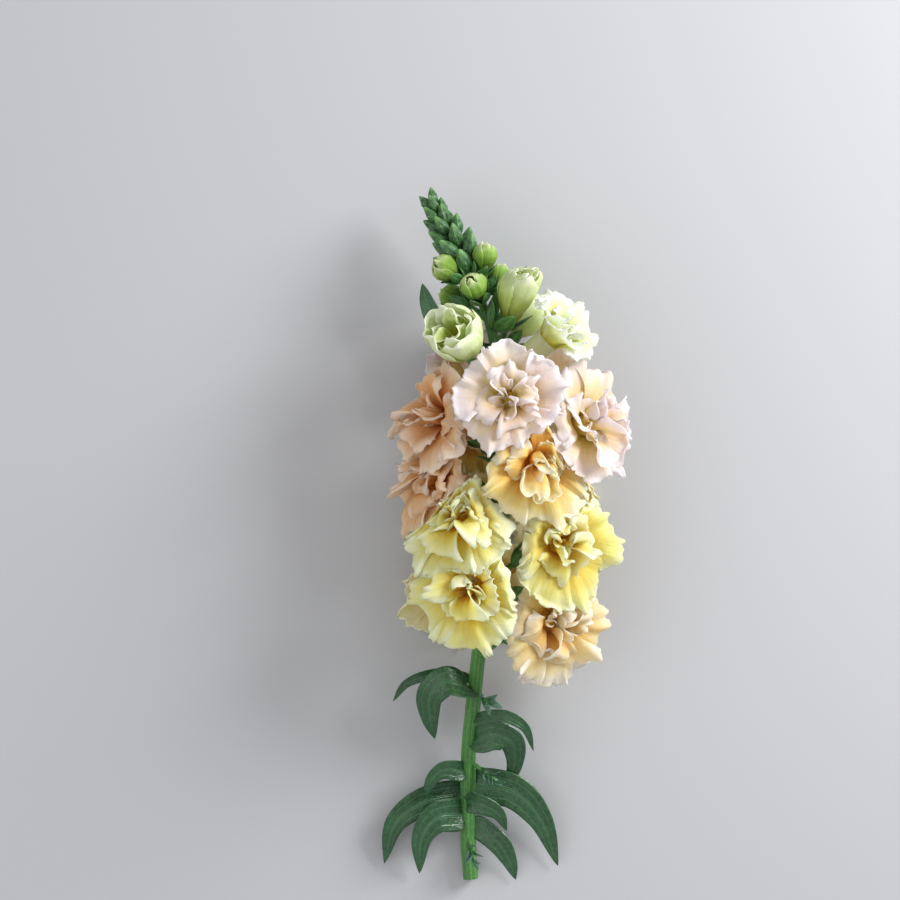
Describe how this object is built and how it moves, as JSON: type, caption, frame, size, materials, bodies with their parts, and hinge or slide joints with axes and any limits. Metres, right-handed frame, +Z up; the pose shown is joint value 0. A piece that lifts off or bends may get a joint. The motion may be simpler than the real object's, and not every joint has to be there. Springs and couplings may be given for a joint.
{
  "type": "snapdragon stem",
  "caption": "Cut flower stem lying on its side: a spike of ruffled double blooms, buds at the tip and narrow leaves below.",
  "frame": {"origin": "on the surface the stem lies on, under the middle of its bounding box", "axes": "+Y along the stem towards its tip, +Z up from the surface, +X across to the right of someone looking from the cut end"},
  "size_m": [0.1028, 0.2914, 0.0709],
  "materials": {
    "petal_blush": "soft velvety petal, slightly translucent",
    "petal_peach": "soft velvety petal, slightly translucent",
    "petal_buff": "soft velvety petal, slightly translucent",
    "petal_apricot": "soft velvety petal, slightly translucent",
    "petal_lemon": "soft velvety petal, slightly translucent",
    "petal_cream": "soft velvety petal, slightly translucent",
    "petal_lime": "soft velvety petal, slightly translucent",
    "stem": "satin, fine-haired",
    "leaf": "satin with a bluish bloom"
  },
  "bodies": {
    "root": {"bloom_01": "petal_blush", "bloom_02": "petal_blush", "bloom_03": "petal_peach", "bloom_04": "petal_apricot", "bloom_05": "petal_peach", "bloom_06": "petal_lemon", "bloom_07": "petal_lemon", "bloom_08": "petal_lemon", "bloom_09": "petal_buff", "bloom_10": "petal_cream", "bloom_11": "petal_cream", "bloom_12": "petal_cream", "bloom_13": "petal_cream", "bloom_14": "petal_cream", "bloom_15": "petal_blush", "bloom_16": "petal_blush", "half_open_01": "petal_lime", "half_open_02": "petal_lime", "half_open_03": "petal_lime", "bud_01": "petal_lime", "bud_02": "petal_lime", "bud_03": "petal_lime", "bud_04": "petal_lime", "bud_05": "petal_lime", "bud_06": "petal_lime", "stem": "stem", "leaf_01": "leaf", "leaf_02": "leaf", "leaf_03": "leaf", "leaf_04": "leaf", "leaf_05": "leaf", "leaf_06": "leaf", "leaf_07": "leaf", "leaf_08": "leaf", "leaf_09": "leaf", "leaf_10": "leaf", "leaf_11": "leaf", "side_shoot_01": "leaf", "side_shoot_02": "leaf", "side_shoot_03": "leaf"}
  },
  "joints": []
}
